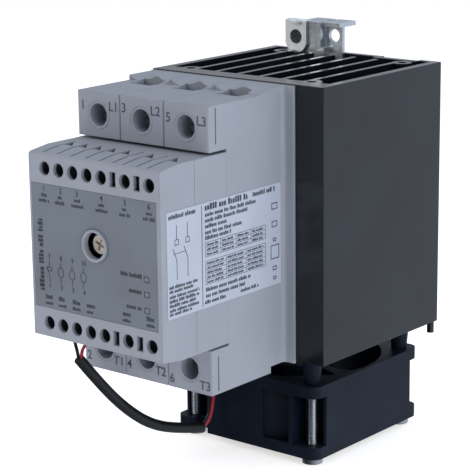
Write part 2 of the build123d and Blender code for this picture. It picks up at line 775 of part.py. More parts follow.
with BuildPart() as rail_hook:
    hook_xs = (latch_x - 12.0, latch_x + 12.0)
    span_box(hook_xs, (back_y, back_y + rail_hook_depth), (rail_top + 0.3, rail_top + 3.3))
    span_box(hook_xs, (back_y + rail_lip, back_y + rail_hook_depth), (rail_top - 2.2, rail_top + 0.3))
    span_box(hook_xs, (back_y, back_y + 1.2), (rail_top + 3.3, rail_top + 10.0))
save(rail_hook, "rail_hook")

latch_nose_z = rail_bottom - 0.3
latch_bottom = sink_z + 0.5
spring_seat_z = sink_z + 8.4
with BuildPart() as rail_latch:
    latch_xs = (latch_x - latch_half, latch_x + latch_half)
    latch_ys = (back_y + 0.3, back_y + 1.8)
    span_box(latch_xs, latch_ys, (latch_bottom, latch_nose_z))
    span_box(latch_xs, (latch_ys[0], back_y + rail_hook_depth - 0.2), (latch_nose_z - 3.0, latch_nose_z))
    nose_ys = (back_y + rail_lip, back_y + rail_hook_depth - 0.2)
    span_box(latch_xs, nose_ys, (latch_nose_z, latch_nose_z + 2.5))
    window_zs = (spring_seat_z - 2.4, latch_nose_z - 4.0)
    span_box((latch_x - 2.6, latch_x + 2.6), latch_ys, window_zs, Mode.SUBTRACT)
    span_box((latch_x - 3.0, latch_x + 3.0), (latch_ys[0], back_y + 3.5), (latch_bottom, latch_bottom + 1.6))
save(rail_latch, "rail_latch")

guide_zs = (sink_z + 7.0, sink_z + 18.0)
with BuildPart() as latch_guide:
    for side in (-1, 1):
        guide_xs = sorted((latch_x + side * (latch_half + 0.3), latch_x + side * (latch_half + 2.8)))
        lip_xs = sorted((latch_x + side * (latch_half - 1.5), latch_x + side * (latch_half + 2.8)))
        span_box(guide_xs, (back_y, back_y + 3.3), guide_zs)
        span_box(lip_xs, (back_y + 2.1, back_y + 3.3), guide_zs)
    span_box((latch_x - 1.9, latch_x + 1.9), (back_y, back_y + 2.6), (spring_seat_z - 2.0, spring_seat_z))
save(latch_guide, "latch_guide")

spring_zs = (spring_seat_z + 0.05, latch_nose_z - 4.15)
with BuildPart() as latch_spring:
    rod_z(latch_x, back_y + 1.5, spring_zs, 1.2)
    rod_z(latch_x, back_y + 1.5, spring_zs, 0.8, Mode.SUBTRACT)
save(latch_spring, "latch_spring")

# ---- fan: frame, stator, bearings and rotor ----
fan_z = fan_head_height
fan_top = fan_z + fan_height
flange_thickness = 4.0
duct_radius = 28.8
duct_wall = 1.2
flange_hole = 2.15
hub_zs = (fan_z + 21.5, fan_z + 23.5)
tube_radius = 4.7
bearing_radius = 3.5
shaft_radius = 1.5
strut_turn = -18.5
strut_width = 3.4
notch_x = -10.1
notch_half = 3.2
notch_floor = fan_top - 2.8

wall_spans = (48.6, 24.0, 48.6, 24.0)
wall_shifts = (0.3, 4.0, -0.3, -4.0)
rib_x = 20.1
rib_depth = 8.0
cable_gap = (-22.0, -16.0)

with BuildPart() as fan_frame:
    for flange_z in (fan_z, fan_top - flange_thickness):
        with BuildSketch(Plane.XY.offset(flange_z)):
            with Locations((0, fan_y)):
                RectangleRounded(fan_size, fan_size, 3.5)
            with Locations((0, fan_y)):
                Circle(duct_radius, mode=Mode.SUBTRACT)
            with Locations(*fan_corners):
                Circle(flange_hole, mode=Mode.SUBTRACT)
        extrude(amount=flange_thickness)
    with BuildSketch(Plane.XY.offset(fan_z + flange_thickness)):
        with Locations((0, fan_y)):
            Circle(duct_radius + duct_wall)
        for turn in range(4):
            face_shift = Vector(fan_size / 2 - 0.6, wall_shifts[turn])
            face_middle = face_shift.rotate(Axis.Z, 90 * turn) + Vector(0, fan_y)
            with Locations(Location(face_middle, (0, 0, 90 * turn))):
                Rectangle(1.2, wall_spans[turn])
        with Locations((0, fan_y)):
            Circle(duct_radius, mode=Mode.SUBTRACT)
    extrude(amount=fan_height - 2 * flange_thickness)
    # two ribs close the side pockets next to the open corners
    for side in (-1, 1):
        rib_ys = sorted((fan_y + side * fan_size / 2, fan_y + side * (fan_size / 2 - rib_depth)))
        rib_edges = sorted((-side * rib_x, -side * (rib_x - 1.2)))
        span_box(rib_edges, rib_ys, (fan_z + flange_thickness, fan_top - flange_thickness))
    rod_z(0, fan_y, (fan_z - 1.0, fan_top + 1.0), duct_radius, Mode.SUBTRACT)
    span_box(
        cable_gap,
        (fan_y - fan_size / 2 - 1.0, fan_y - fan_size / 2 + 4.0),
        (fan_z - 1.0, fan_z + flange_thickness + 1.0),
        Mode.SUBTRACT,
    )
    # the notch in the upper flange lets the leads out before the struts are added
    span_box(
        (notch_x - notch_half, notch_x + notch_half),
        (fan_y - fan_size / 2 - 1.0, fan_y - duct_radius + 3.5),
        (notch_floor, fan_top + 1.0),
        Mode.SUBTRACT,
    )
    rod_z(0, fan_y, hub_zs, 12.5)
    rod_z(0, fan_y, (fan_z + 5.5, hub_zs[0]), tube_radius)
    rod_z(0, fan_y, (fan_z + 5.5, hub_zs[0]), bearing_radius, Mode.SUBTRACT)
    for turn in range(4):
        with BuildSketch(Plane.XY.offset(hub_zs[0])):
            middle = Vector(0, -21.3).rotate(Axis.Z, strut_turn + 90 * turn) + Vector(0, fan_y)
            with Locations(Location(middle, (0, 0, strut_turn + 90 * turn))):
                Rectangle(strut_width, 18.6)
        extrude(amount=hub_zs[1] - hub_zs[0])
save(fan_frame, "fan_frame")

with BuildPart() as fan_stator:
    rod_z(0, fan_y, (fan_z + 9.0, fan_z + 17.5), 9.5)
    for turn in range(4):
        with BuildSketch(Plane.XY.offset(fan_z + 9.0)):
            gap_middle = Vector(7.6, 0).rotate(Axis.Z, 45 + 90 * turn) + Vector(0, fan_y)
            with Locations(Location(gap_middle, (0, 0, 45 + 90 * turn))):
                Rectangle(4.6, 1.6)
        extrude(amount=8.5, mode=Mode.SUBTRACT)
    rod_z(0, fan_y, (fan_z + 18.5, fan_z + 19.7), 9.5)
    for turn in range(4):
        post = Vector(6.3, 0).rotate(Axis.Z, 90 * turn) + Vector(0, fan_y)
        rod_z(post.X, post.Y, (fan_z + 17.5, fan_z + 18.5), 0.8)
    rod_z(0, fan_y, (fan_z + 9.0, fan_z + 19.7), tube_radius + 0.05, Mode.SUBTRACT)
save(fan_stator, "fan_stator")

with BuildPart() as fan_bearings:
    for low in (fan_z + 6.0, fan_z + 17.0):
        rod_z(0, fan_y, (low, low + 3.5), bearing_radius - 0.02)
        rod_z(0, fan_y, (low, low + 3.5), shaft_radius + running_gap, Mode.SUBTRACT)
save(fan_bearings, "fan_bearings")

with BuildPart() as fan_shaft:
    rod_z(0, fan_y, (fan_z + 2.9, fan_z + 20.9), shaft_radius)
save(fan_shaft, "fan_shaft")

rotor_radius = 12.5
rotor_wall = 1.2
rotor_zs = (fan_z + 1.6, fan_z + 20.8)
blade_count = 7
blade_tip = 28.1


def blade_section(radius, half_span, twist):
    """A slanted blade section in the plane across the radius, at the rotor's centre."""
    low, high = rotor_zs[0] + 1.5, rotor_zs[1] - 1.0
    points = [
        (-half_span, low),
        (-half_span + 1.6, low),
        (twist + 1.6, (low + high) / 2 - 1.0),
        (half_span, high),
        (half_span - 1.6, high),
        (twist, (low + high) / 2 + 1.0),
    ]
    with BuildSketch(Plane(origin=(radius, fan_y, 0), x_dir=(0, 1, 0), z_dir=(1, 0, 0))) as section:
        with BuildLine():
            Polyline(*points, close=True)
        make_face()
    return section.sketch


root_section = blade_section(rotor_radius - 0.6, 4.5, -0.6)
tip_section = blade_section(blade_tip + 0.6, 9.0, -1.2)
with BuildPart() as blade:
    loft([root_section, tip_section], ruled=True)

with BuildPart() as fan_rotor:
    for turn in range(blade_count):
        add(blade.part.rotate(Axis((0, fan_y, 0), (0, 0, 1)), 360 / blade_count * turn))
    with Locations((0, fan_y, (rotor_zs[0] + rotor_zs[1]) / 2)):
        Cylinder(blade_tip, rotor_zs[1] - rotor_zs[0], mode=Mode.INTERSECT)
    rod_z(0, fan_y, rotor_zs, rotor_radius)
    rod_z(0, fan_y, (rotor_zs[0] + rotor_wall, rotor_zs[1]), rotor_radius - rotor_wall, Mode.SUBTRACT)
    rod_z(0, fan_y, (rotor_zs[0] + rotor_wall, rotor_zs[0] + 3.2), 3.0)
    rod_z(0, fan_y, (rotor_zs[0] + 1.3, rotor_zs[0] + 3.2), shaft_radius, Mode.SUBTRACT)
save(fan_rotor, "fan_rotor")

with BuildPart() as rotor_magnet:
    magnet_zs = (fan_z + 7.5, fan_z + 19.0)
    rod_z(0, fan_y, magnet_zs, rotor_radius - rotor_wall - 0.05)
    rod_z(0, fan_y, magnet_zs, 10.0, Mode.SUBTRACT)
save(rotor_magnet, "rotor_magnet")

spacer_foot = 2.7
spacer_head = 3.5
with BuildPart() as fan_spacers:
    for corner in fan_corners:
        with Locations((corner[0], corner[1], fan_top + spacer_height / 2)):
            Cone(spacer_foot, spacer_head, spacer_height)
        rod_z(corner[0], corner[1], (fan_top, sink_z), fan_screw_bore + 0.1, Mode.SUBTRACT)
save(fan_spacers, "fan_spacers")

with BuildPart() as fan_screws:
    for corner in fan_corners:
        rod_z(corner[0], corner[1], (0, fan_head_height), 3.4)
        rod_z(corner[0], corner[1], (fan_head_height, sink_z + 9.0), fan_screw_radius)
        for arm_x, arm_y in ((2.4, 0.45), (0.45, 2.4)):
            arm_xs = (corner[0] - arm_x, corner[0] + arm_x)
            arm_ys = (corner[1] - arm_y, corner[1] + arm_y)
            span_box(arm_xs, arm_ys, (-1.0, 1.4), Mode.SUBTRACT)
save(fan_screws, "fan_screws")

# ---- fan cable: a sleeve over two leads, hanging from the fan to the supply terminals ----
sleeve_diameter = 3.6
lead_diameter = 1.1
sleeve_points = [
    (-25.2, -54.5, 40.2),
    (-22.4, -46.9, 29.4),
    (-20.0, -38.5, 20.0),
    (-17.8, -29.6, 12.9),
    (-15.2, -19.5, 9.0),
    (-12.2, -9.5, 7.3),
]
lead_spread = 0.7
lead_reach = 34.2
lead_sides = (-1, 1)
lead_inset = 1.2
lead_entry_xs = [left_x + hole_x - slot_offset - slot_half + lead_inset for hole_x in hole_xs[:2]]
lead_entry_y = depth(entry_front + lead_inset)
lead_names = ("black", "red")


def cord_radii(points, share=0.45):
    """The largest arcs that a route's runs allow, one for each corner."""
    radii = []
    for before, here, after in zip(points, points[1:], points[2:]):
        first = Vector(*here) - Vector(*before)
        second = Vector(*after) - Vector(*here)
        half_turn = math.radians(first.get_angle(second)) / 2
        radii.append(share * min(first.length, second.length) / math.tan(half_turn))
    return radii


def tube(points, diameter):
    """A round tube along straight runs that are joined by tangent arcs."""
    with BuildLine() as route:
        line = FilletPolyline(*points, radius=cord_radii(points))
    with BuildSketch(Plane(origin=line @ 0, z_dir=line % 0)) as section:
        Circle(diameter / 2)
    sweep(section.sketch, path=route.wires()[0])
    return line.length


with BuildPart() as fan_cable_sleeve:
    sleeve_length = tube(sleeve_points, sleeve_diameter)
save(fan_cable_sleeve, "fan_cable_sleeve")
sleeve_section = math.pi * sleeve_diameter**2 / 4
print("sleeve radii", [round(radius, 1) for radius in cord_radii(sleeve_points)])
print("sleeve length", round(sleeve_length, 1))
print("sleeve volume ratio", fan_cable_sleeve.part.volume / sleeve_section / sleeve_length)

strut_way = Vector(0, -1).rotate(Axis.Z, strut_turn)
across = Vector(1, 0).rotate(Axis.Z, strut_turn)
lead_z = hub_zs[1] + lead_diameter / 2 + 0.1
for name, side, entry_x in zip(lead_names, lead_sides, lead_entry_xs):
    aside = across * side * lead_spread
    start = Vector(0, fan_y) + strut_way * 9.0 + aside
    edge = Vector(0, fan_y) + strut_way * lead_reach + aside
    rear_end = Vector(*sleeve_points[-1]) + aside
    front_end = Vector(*sleeve_points[0]) + Vector(side * lead_spread, 0)
    rear_points = [
        (start.X, start.Y, lead_z),
        (edge.X, edge.Y, lead_z),
        (edge.X - 0.3, edge.Y - 0.4, 16.0),
        (rear_end.X + 0.7, rear_end.Y + 2.2, rear_end.Z + 1.0),
        (rear_end.X - 0.3, rear_end.Y - 1.0, rear_end.Z + 0.1),
    ]
    front_points = [
        (front_end.X + 0.2, front_end.Y + 0.5, front_end.Z - 0.6),
        (front_end.X, front_end.Y + 0.1, front_end.Z + 2.4),
        (entry_x, lead_entry_y, front_end.Z + 5.8),
        (entry_x, lead_entry_y, height(case_zs[0]) + 1.4),
    ]
    with BuildPart() as lead:
        tube(rear_points, lead_diameter)
        tube(front_points, lead_diameter)
    save(lead, f"fan_lead_{name}")
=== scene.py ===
# %% [markdown]
# # Finishing a three-pole solid state relay
# The relay is built of moulded housings, a black heatsink and a small fan. Its parts arrive
# as exact solids, already in place and in metres. This lesson gives each part its real
# surface, adds the printing and the fine metalwork, and lights it like a catalogue page.

import math
import random

import bmesh
import bpy
from mathutils import Matrix, Vector


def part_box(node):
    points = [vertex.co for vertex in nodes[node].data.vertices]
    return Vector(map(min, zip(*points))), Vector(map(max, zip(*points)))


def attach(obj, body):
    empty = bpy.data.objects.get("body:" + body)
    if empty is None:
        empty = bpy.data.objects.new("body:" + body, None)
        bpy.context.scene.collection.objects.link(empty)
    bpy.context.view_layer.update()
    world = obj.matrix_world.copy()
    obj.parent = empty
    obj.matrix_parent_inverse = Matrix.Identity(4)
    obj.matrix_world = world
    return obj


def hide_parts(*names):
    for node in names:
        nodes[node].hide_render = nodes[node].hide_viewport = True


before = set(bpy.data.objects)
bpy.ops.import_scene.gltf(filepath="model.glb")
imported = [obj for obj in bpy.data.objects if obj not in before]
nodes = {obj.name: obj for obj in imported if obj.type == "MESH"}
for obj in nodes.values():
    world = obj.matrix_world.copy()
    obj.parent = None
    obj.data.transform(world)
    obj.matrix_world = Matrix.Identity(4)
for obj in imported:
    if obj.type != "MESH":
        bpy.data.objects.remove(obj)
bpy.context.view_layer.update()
scene = bpy.context.scene
MM = 0.001

# %% [markdown]
# The camera stands to the right of the front panel, a little above it, with a long lens, so
# that upright edges stay nearly upright. Its axes are worked out from a compass angle, a
# height angle and a slight roll, because such angles are easier to judge than a matrix.

# %% The camera
camera_place = Vector((376.23, -466.58, 220.20)) * MM
camera_azimuth = math.radians(39.2486)
camera_height = math.radians(13.809)
camera_roll = math.radians(-0.62)


def camera_axes(azimuth, rise, roll):
    """The camera's right, up and backward directions."""
    back = Vector((
        math.cos(rise) * math.sin(azimuth),
        -math.cos(rise) * math.cos(azimuth),
        math.sin(rise),
    ))
    level_right = Vector((math.cos(azimuth), math.sin(azimuth), 0))
    level_up = back.cross(level_right)
    right = level_right * math.cos(roll) + level_up * math.sin(roll)
    up = level_up * math.cos(roll) - level_right * math.sin(roll)
    return right, up, back


lens = bpy.data.cameras.new("catalogue_camera")
lens.lens = 142.2
lens.sensor_width = 36.0
lens.clip_start = 0.01
camera = bpy.data.objects.new("catalogue_camera", lens)
turned = Matrix(camera_axes(camera_azimuth, camera_height, camera_roll)).transposed()
camera.matrix_world = Matrix.Translation(camera_place) @ turned.to_4x4()
scene.collection.objects.link(camera)
scene.camera = camera
print("camera at", [round(v, 3) for v in camera_place])

# %% [markdown]
# The fan's two wires leave its hub, meet at the notch in its frame and run in a black
# shrink sleeve to the two supply terminals. The sleeve is stiff and hangs in one bow. Each
# line is a smooth spline through a few given points, and a round bevel thickens it.

# %% The fan cable
sleeve_points = [
    (-12.2, -9.5, 7.3),
    (-15.2, -19.5, 9.0),
    (-17.8, -29.6, 12.9),
    (-20.0, -38.5, 20.0),
    (-22.4, -46.9, 29.4),
    (-25.2, -54.5, 40.2),
]
sleeve_width = 3.6
wire_width = 1.1


def cable_line(name, points, width):
    """A round cable along a smooth spline; the points are in millimetres."""
    curve = bpy.data.curves.new(name, "CURVE")
    curve.dimensions = "3D"
    spline = curve.splines.new("NURBS")
    spline.points.add(len(points) - 1)
    for knot, place in zip(spline.points, points):
        knot.co = (*(v * MM for v in place), 1.0)
    spline.order_u = 3
    spline.use_endpoint_u = True
    spline.resolution_u = 16
    curve.bevel_depth = width * MM / 2
    curve.bevel_resolution = 6
    curve.use_fill_caps = True
    line = bpy.data.objects.new(name, curve)
    scene.collection.objects.link(line)
    return line


sleeve = cable_line("cable_sleeve", sleeve_points, sleeve_width)

# %% [markdown]
# Behind the sleeve each wire runs back over the strut of the fan's frame; in front of it the
# two wires spread and rise into their terminals. These short ends are separate lines, which
# begin and end inside the sleeve.

# %% The wire ends
fan_y = 27.5
strut_turn = math.radians(-18.5)
strut_way = Vector((math.sin(strut_turn), -math.cos(strut_turn), 0))
strut_side = Vector((math.cos(strut_turn), math.sin(strut_turn), 0))
wire_z = 26.55
wire_spread = 0.7
hub_reach = 9.0
rim_reach = 34.2
rim_bend_z = 16.0
entry_clearance = 5.8
fan_end = Vector(sleeve_points[0])
terminal_end = Vector(sleeve_points[-1])
terminal_y = -53.5
terminal_z = 50.0
wires = []
for colour, side, entry_x in (("black", -1, -28.15), ("red", 1, -22.25)):
    aside = strut_side * side * wire_spread
    hub = Vector((0, fan_y, wire_z)) + strut_way * hub_reach + aside
    rim = Vector((0, fan_y, wire_z)) + strut_way * rim_reach + aside
    rear = [
        tuple(hub),
        tuple(rim),
        (rim.x - 0.3, rim.y - 0.4, rim_bend_z),
        tuple(fan_end + aside + Vector((0.7, 2.2, 1.0))),
        tuple(fan_end + aside + Vector((-0.3, -1.0, 0.1))),
    ]
    front = [
        tuple(terminal_end + Vector((side * wire_spread + 0.2, 0.5, -0.6))),
        tuple(terminal_end + Vector((side * wire_spread, 0.1, 2.4))),
        (entry_x, terminal_y, terminal_end.z + entry_clearance),
        (entry_x, terminal_y, terminal_z),
    ]
    for place, points in (("fan", rear), ("terminal", front)):
        wires.append(cable_line(f"{colour}_wire_at_{place}", points, wire_width))
print("wires:", [wire.name for wire in wires])

# %% [markdown]
# A catalogue picture has no hard shadows. A pale floor, a bright even sky and three large
# soft lamps give that: one above, one from the left of the front panel and a weaker one from
# the right, so that the two visible sides differ a little in brightness.

# %% Floor and light
scene.view_settings.view_transform = "Standard"


def linear(hex_colour):
    """The linear colour of an sRGB hex value such as '9AA2B0'."""
    parts = [int(hex_colour[place:place + 2], 16) / 255 for place in (0, 2, 4)]
    return [v / 12.92 if v <= 0.04045 else ((v + 0.055) / 1.055) ** 2.4 for v in parts] + [1.0]


def soft_lamp(name, place, target, size, power):
    """A square lamp that faces a point; lengths in metres."""
    light = bpy.data.lights.new(name, "AREA")
    light.size = size
    light.energy = power
    lamp = bpy.data.objects.new(name, light)
    lamp.location = place
    lamp.rotation_euler = (Vector(target) - Vector(place)).to_track_quat("-Z", "Y").to_euler()
    scene.collection.objects.link(lamp)


relay_middle = (0.0, 0.0, 0.07)
soft_lamp("top_softbox", (-0.15, -0.1, 1.0), relay_middle, 0.9, 3.6)
soft_lamp("left_softbox", (-0.65, -0.75, 0.5), relay_middle, 0.7, 4.6)
soft_lamp("right_softbox", (1.0, -0.2, 0.4), relay_middle, 0.7, 4.6)

# %% [markdown]
# A black part shows mostly what it reflects, so the studio around it matters as much as the
# lamps. Here the sky is darker towards the front left, where the studio is open, and
# brighter towards the right and the back, where its white walls are. The floor glows a
# little, so that it stays white, and is left out of reflections.

# %% The studio around
sky = bpy.data.worlds.new("studio_sky")
sky.use_nodes = True
sky_tree = sky.node_tree
sky_way = sky_tree.nodes.new("ShaderNodeTexCoord")
toward_wall = sky_tree.nodes.new("ShaderNodeVectorMath")
toward_wall.operation = "DOT_PRODUCT"
toward_wall.inputs[1].default_value = (0.6, 0.8, 0.0)
sky_tree.links.new(sky_way.outputs["Generated"], toward_wall.inputs[0])
wall_glow = sky_tree.nodes.new("ShaderNodeMapRange")
for label, value in (("From Min", -0.8), ("From Max", 0.9), ("To Min", 0.03), ("To Max", 0.95)):
    wall_glow.inputs[label].default_value = value
sky_tree.links.new(toward_wall.outputs["Value"], wall_glow.inputs["Value"])
sky_shader = sky_tree.nodes["Background"]
sky_shader.inputs["Color"].default_value = linear("DCE4F3")
sky_tree.links.new(wall_glow.outputs["Result"], sky_shader.inputs["Strength"])
scene.world = sky

floor_mesh = bpy.data.meshes.new("floor")
half = 4.0  # metres
floor_corners = [(-half, -half, 0), (half, -half, 0), (half, half, 0), (-half, half, 0)]
floor_mesh.from_pydata(floor_corners, [], [(0, 1, 2, 3)])
floor = bpy.data.objects.new("floor", floor_mesh)
scene.collection.objects.link(floor)
floor.visible_glossy = False

# %% [markdown]
# Every finish below is a small graph of nodes. One function adds a node, sets its values and
# joins its inputs, so that a finish reads from top to bottom like a recipe. A second one
# starts a finish with its shader and the object's own coordinates.

# %% Helpers for finishes


def add_node(tree, kind, settings=None, links=None):
    """Add one node; settings and links are keyed by a property, an input's name or its number."""
    node = tree.nodes.new(kind)
    for key, value in (settings or {}).items():
        if isinstance(key, str) and hasattr(node, key):
            setattr(node, key, value)
        else:
            node.inputs[key].default_value = value
    for key, source in (links or {}).items():
        tree.links.new(source, node.inputs[key])
    return node


def start_finish(name):
    """A new material with its shader and its object coordinates."""
    finish = bpy.data.materials.new(name)
    finish.use_nodes = True
    tree = finish.node_tree
    shader = tree.nodes["Principled BSDF"]
    place = add_node(tree, "ShaderNodeTexCoord").outputs["Object"]
    return finish, tree, shader, place


def per_mm(size_mm):
    """The texture scale that gives features about this many millimetres across."""
    return 1.0 / (size_mm * MM)


def shade_between(tree, amount, dark, light):
    """A colour that runs from dark to light as the amount goes from 0 to 1."""
    ends = {"data_type": "RGBA", 6: linear(dark), 7: linear(light)}
    mix = add_node(tree, "ShaderNodeMix", ends, {0: amount})
    return mix.outputs[2]


def value_between(tree, amount, low, high):
    """A number that runs from low to high as the amount goes from 0.3 to 0.7."""
    settings = {"From Min": 0.3, "From Max": 0.7, "To Min": low, "To Max": high}
    return add_node(tree, "ShaderNodeMapRange", settings, {"Value": amount}).outputs["Result"]


# %% [markdown]
# The housings are moulded from glass-filled polyamide in spark-eroded tools. The eye sees a
# very fine grain, edges that are slightly rounded by the mould, and a faint unevenness where
# the plastic flowed. The grain is about 0.25 mm across, a little coarser than the real one,
# so that it shows. A bevel in the shader rounds the sharp edges without touching the solids.

# %% Moulded plastic
MOULD_GRAIN_DEPTH = 0.012
POLYAMIDE_IOR = 1.53


def moulded_plastic(name, dark, light, gloss=0.45, grain_mm=0.25, edge_mm=0.3, sheen=0.5):
    """Moulded plastic with a fine spark-eroded grain and soft edges."""
    finish, tree, shader, place = start_finish(name)
    flow = add_node(tree, "ShaderNodeTexNoise", {"Scale": per_mm(14), "Detail": 3.0}, {"Vector": place})
    grain_size = {"Scale": per_mm(grain_mm), "Detail": 2.0}
    grain = add_node(tree, "ShaderNodeTexNoise", grain_size, {"Vector": place})
    rounded = add_node(tree, "ShaderNodeBevel", {"samples": 4, "Radius": edge_mm * MM})
    tree.links.new(shade_between(tree, value_between(tree, flow.outputs["Fac"], 0.0, 1.0), dark, light),
                   shader.inputs["Base Color"])
    tree.links.new(value_between(tree, grain.outputs["Fac"], gloss - 0.05, gloss + 0.08),
                   shader.inputs["Roughness"])
    bump = add_node(tree, "ShaderNodeBump", {"Strength": 0.6, "Distance": MOULD_GRAIN_DEPTH * MM},
                    {"Height": grain.outputs["Fac"], "Normal": rounded.outputs["Normal"]})
    tree.links.new(bump.outputs["Normal"], shader.inputs["Normal"])
    shader.inputs["IOR"].default_value = POLYAMIDE_IOR
    shader.inputs["Specular IOR Level"].default_value = sheen
    return finish


housing_grey = moulded_plastic("moulded_polyamide_grey", "8A8F99", "8F949F", sheen=0.35)
fan_black = moulded_plastic("moulded_pbt_black", "0A111E", "111A29", gloss=0.42, grain_mm=0.35, sheen=0.14)
strip_dark = moulded_plastic("moulded_polyamide_dark", "202327", "2A2D31", gloss=0.55)
dial_cream = moulded_plastic("moulded_acetal_cream", "C4B9AC", "D2C8BC", gloss=0.38, edge_mm=0.15)
relay_blue = moulded_plastic("moulded_relay_case_blue", "2A3A5C", "31436A", gloss=0.4)
epoxy_black = moulded_plastic("moulded_epoxy_black", "17181A", "1F2022", gloss=0.6, grain_mm=0.15)
print("moulded plastics:", housing_grey.name, fan_black.name)

# %% [markdown]
# The heatsink is an aluminium extrusion, dyed black after anodising. Its long faces carry
# faint die lines that run with the extrusion, and the dye turns bluish where it is thin. The
# ends were sawn after dyeing, so they show brownish bare metal with fine saw marks. The
# surface direction tells the two apart: an end face looks straight up or down.

# %% Anodised aluminium with sawn ends


def anodised_extrusion(name, dark, light, sawn_dark, sawn_light):
    """Black anodised aluminium along the extrusion, bare sawn metal on its ends."""
    finish, tree, shader, place = start_finish(name)
    along = add_node(tree, "ShaderNodeMapping", {"Scale": (1.0, 1.0, 0.012)}, {"Vector": place})
    die_lines = add_node(tree, "ShaderNodeTexNoise", {"Scale": per_mm(0.7), "Detail": 4.0},
                         {"Vector": along.outputs["Vector"]})
    clouds = add_node(tree, "ShaderNodeTexNoise", {"Scale": per_mm(30), "Detail": 2.0}, {"Vector": place})
    grit = add_node(tree, "ShaderNodeTexNoise", {"Scale": per_mm(0.2), "Detail": 2.0}, {"Vector": place})
    saw_marks = {"bands_direction": "X", "Scale": per_mm(3.2), "Distortion": 1.5, "Detail": 3.0}
    saw = add_node(tree, "ShaderNodeTexWave", saw_marks, {"Vector": place})
    facing = add_node(tree, "ShaderNodeSeparateXYZ", None,
                      {"Vector": add_node(tree, "ShaderNodeNewGeometry").outputs["True Normal"]})
    upright = add_node(tree, "ShaderNodeMath", {"operation": "ABSOLUTE"}, {0: facing.outputs["Z"]})
    sawn = add_node(tree, "ShaderNodeMath", {"operation": "GREATER_THAN", 1: 0.9}, {0: upright.outputs[0]})
    dyed = shade_between(tree, value_between(tree, clouds.outputs["Fac"], 0.0, 1.0), dark, light)
    bare = shade_between(tree, saw.outputs["Fac"], sawn_dark, sawn_light)
    colour = add_node(tree, "ShaderNodeMix", {"data_type": "RGBA"}, {0: sawn.outputs[0], 6: dyed, 7: bare})
    tree.links.new(colour.outputs[2], shader.inputs["Base Color"])
    metal = add_node(tree, "ShaderNodeMapRange", {"To Min": 0.0, "To Max": 0.35}, {"Value": sawn.outputs[0]})
    tree.links.new(metal.outputs["Result"], shader.inputs["Metallic"])
    tree.links.new(value_between(tree, die_lines.outputs["Fac"], 0.15, 0.21), shader.inputs["Roughness"])
    rounded = add_node(tree, "ShaderNodeBevel", {"samples": 4, "Radius": 0.25 * MM})
    lines = add_node(tree, "ShaderNodeBump", {"Strength": 0.35, "Distance": 0.02 * MM},
                     {"Height": die_lines.outputs["Fac"], "Normal": rounded.outputs["Normal"]})
    etched = add_node(tree, "ShaderNodeBump", {"Strength": 0.3, "Distance": 0.008 * MM},
                      {"Height": grit.outputs["Fac"], "Normal": lines.outputs["Normal"]})
    tree.links.new(etched.outputs["Normal"], shader.inputs["Normal"])
    return finish


sink_black = anodised_extrusion("anodised_aluminium_black", "0D1015", "14181E", "37312F", "4A4341")
print("heatsink finish:", sink_black.name)

# %% [markdown]
# The bracket, clamps and screws are bright zinc plated steel. Zinc is a bluish white metal
# with a faint crystal mottle, and rolled sheet under it leaves short streaks. The mottle is
# in the roughness more than in the colour. The same recipe, darker, serves for blackened
# steel, and warmer, for tin plated copper.

# %% Plated metals


def plated_metal(name, dark, light, smooth, rough, mottle_mm=1.2, edge_mm=0.15):
    """Plated sheet or turned metal with a faint mottle."""
    finish, tree, shader, place = start_finish(name)
    mottle = add_node(tree, "ShaderNodeTexVoronoi", {"Scale": per_mm(mottle_mm)}, {"Vector": place})
    streaks = add_node(tree, "ShaderNodeTexNoise", {"Scale": per_mm(0.4), "Detail": 4.0},
                       {"Vector": add_node(tree, "ShaderNodeMapping", {"Scale": (0.6, 1.0, 1.0)},
                                           {"Vector": place}).outputs["Vector"]})
    tree.links.new(shade_between(tree, mottle.outputs["Distance"], light, dark), shader.inputs["Base Color"])
    tree.links.new(value_between(tree, streaks.outputs["Fac"], smooth, rough), shader.inputs["Roughness"])
    rounded = add_node(tree, "ShaderNodeBevel", {"samples": 4, "Radius": edge_mm * MM})
    bump = add_node(tree, "ShaderNodeBump", {"Strength": 0.12, "Distance": 0.003 * MM},
                    {"Height": streaks.outputs["Fac"], "Normal": rounded.outputs["Normal"]})
    tree.links.new(bump.outputs["Normal"], shader.inputs["Normal"])
    shader.inputs["Metallic"].default_value = 1.0
    return finish


zinc_bright = plated_metal("zinc_plated_steel", "C6CDD3", "D6DCE1", 0.26, 0.34)
zinc_clamp = plated_metal("zinc_plated_steel_stamped", "E4E9EC", "EFF3F5", 0.5, 0.6)
steel_dark = plated_metal("blackened_steel", "3C3E42", "52555A", 0.35, 0.5)
screw_steel = plated_metal("nickel_plated_steel", "A3A6AA", "BDBFC3", 0.3, 0.42, mottle_mm=0.6)
copper_tinned = plated_metal("tin_plated_copper", "B5A791", "C9BCA6", 0.25, 0.4)
ferrite = plated_metal("sintered_ferrite", "2C2B2B", "3A3938", 0.55, 0.7)
ferrite.node_tree.nodes["Principled BSDF"].inputs["Metallic"].default_value = 0.3
print("metals:", zinc_bright.name, screw_steel.name)

# %% [markdown]
# The labels are printed films. The front one is grey polyester with a matt, slightly
# pebbled face; the side one is a pale metallised foil. The printing on both is dark grey
# ink with soft edges. The circuit boards are glass-fibre laminate under green lacquer, with
# copper tracks that show through as paler lines.

# %% Films, ink and boards


